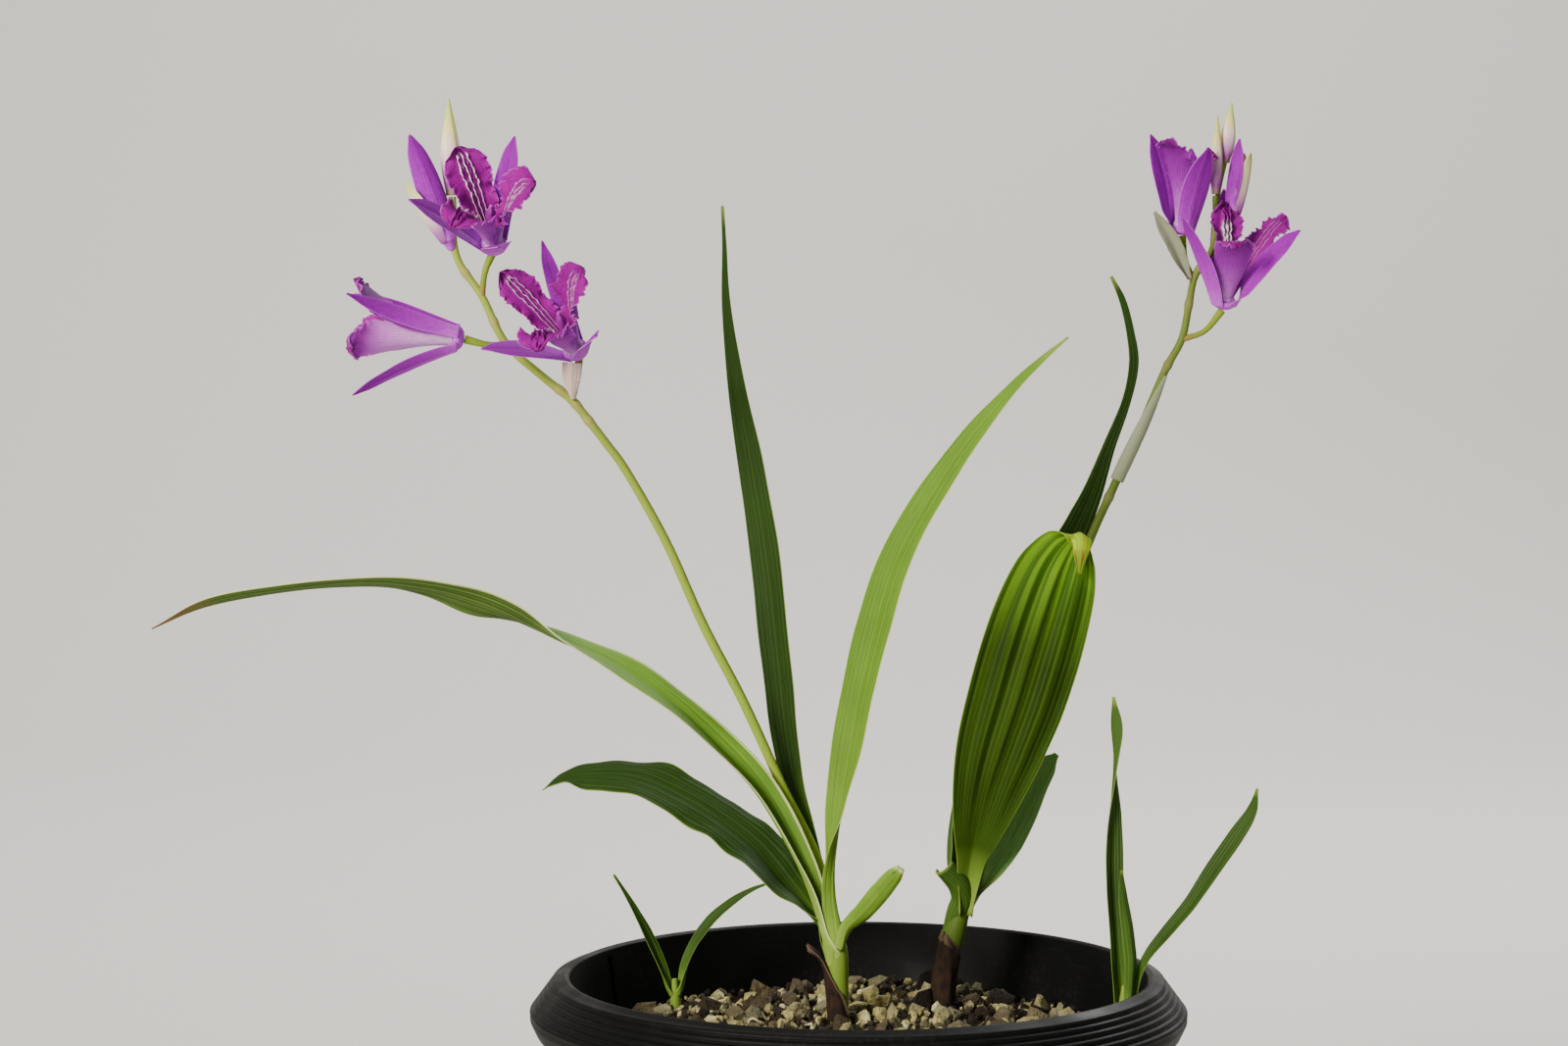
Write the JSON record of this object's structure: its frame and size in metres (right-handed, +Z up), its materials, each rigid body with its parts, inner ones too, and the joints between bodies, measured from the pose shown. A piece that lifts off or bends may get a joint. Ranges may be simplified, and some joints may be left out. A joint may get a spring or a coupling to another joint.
{
  "type": "bletilla orchid in a pot",
  "caption": "Ground orchid with arching strap leaves, a pleated leaf and purple blooms with ruffled lips on tall stalks, in a round ribbed nursery pot.",
  "frame": {"origin": "centre of the pot's flat underside", "axes": "+Z up; -Y is the front, towards which the pleated leaf and the open blooms look; +X to the right"},
  "size_m": [0.2793, 0.16, 0.3331],
  "materials": {
    "pot": "satin",
    "potting_mix": "rough",
    "leaf": "satin",
    "young_leaf": "satin",
    "stem": "satin",
    "scape": "satin",
    "stem_sheath": "satin",
    "dry_sheath": "matte",
    "papery_bract": "matte",
    "green_bract": "matte",
    "sepal": "satin",
    "lip": "satin",
    "column": "satin",
    "opening_bud": "satin",
    "bud": "satin"
  },
  "bodies": {
    "root": {"pseudostem_a": "stem", "scape_a": "scape", "leaf_a4": "leaf", "leaf_a1": "leaf", "leaf_a3": "leaf", "leaf_a2": "leaf", "leaf_a5": "young_leaf", "sheath_a": "dry_sheath", "bract_a": "papery_bract", "pseudostem_b": "stem", "scape_b": "scape", "leaf_b1": "leaf", "leaf_b2": "leaf", "leaf_b3": "leaf", "leaf_b4": "leaf", "leaf_b5": "young_leaf", "sheath_b": "dry_sheath", "scape_sheath_b": "stem_sheath", "bract_b": "green_bract", "shoot_c": "stem", "leaf_c1": "young_leaf", "leaf_c2": "young_leaf", "shoot_d": "stem", "leaf_d1": "young_leaf", "leaf_d2": "young_leaf", "leaf_d3": "young_leaf", "bloom_a1_sepals": "sepal", "bloom_a1_column": "column", "bloom_a1_lips": "lip", "bloom_a2_sepals": "sepal", "bloom_a2_column": "column", "bloom_a2_lips": "lip", "bloom_a3_sepals": "sepal", "bloom_a3_column": "column", "bloom_a3_lips": "lip", "bloom_b1_sepals": "sepal", "bloom_b1_column": "column", "bloom_b1_lips": "lip", "bloom_b2_sepals": "sepal", "bloom_b2_column": "column", "bloom_b2_lips": "lip", "opening_bud_a": "opening_bud", "bud_a": "bud", "opening_bud_b": "opening_bud", "bud_b1": "bud", "bud_b2": "bud", "pot": "pot", "potting_mix": "potting_mix"}
  },
  "joints": []
}
